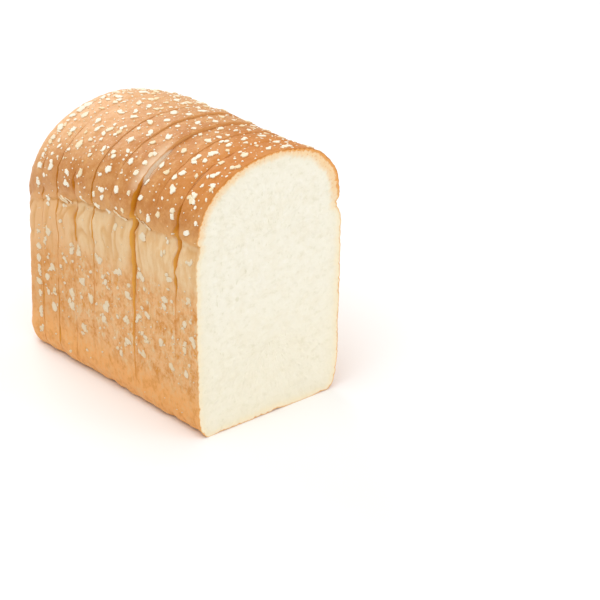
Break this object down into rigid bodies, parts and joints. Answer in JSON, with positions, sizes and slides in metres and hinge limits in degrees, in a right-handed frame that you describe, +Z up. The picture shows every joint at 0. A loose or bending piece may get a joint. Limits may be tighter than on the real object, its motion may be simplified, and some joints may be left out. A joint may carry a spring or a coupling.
{
  "type": "tin loaf",
  "caption": "Sliced tin loaf standing as one block: pale cut face in front, golden crust, domed crown with baked-on oat flakes, crusted heel behind.",
  "frame": {"origin": "middle of the block's underside, on the surface that it stands on", "axes": "+Z up, -Y out of the cut face, +Y towards the heel, +X to the right seen from the cut face"},
  "size_m": [0.1065, 0.1523, 0.1555],
  "materials": {
    "crust": "baked golden crust, satin on the crown and matte down the sides",
    "crumb": "soft ivory crumb with fine pores, fully matte",
    "oat_flake": "dry rolled oat, matte"
  },
  "bodies": {
    "root": {"slice_1": "crust", "slice_2": "crust", "slice_3": "crust", "slice_4": "crust", "slice_5": "crust", "slice_6": "crust", "slice_7": "crust", "slice_8": "crust", "heel": "crust"}
  },
  "joints": []
}
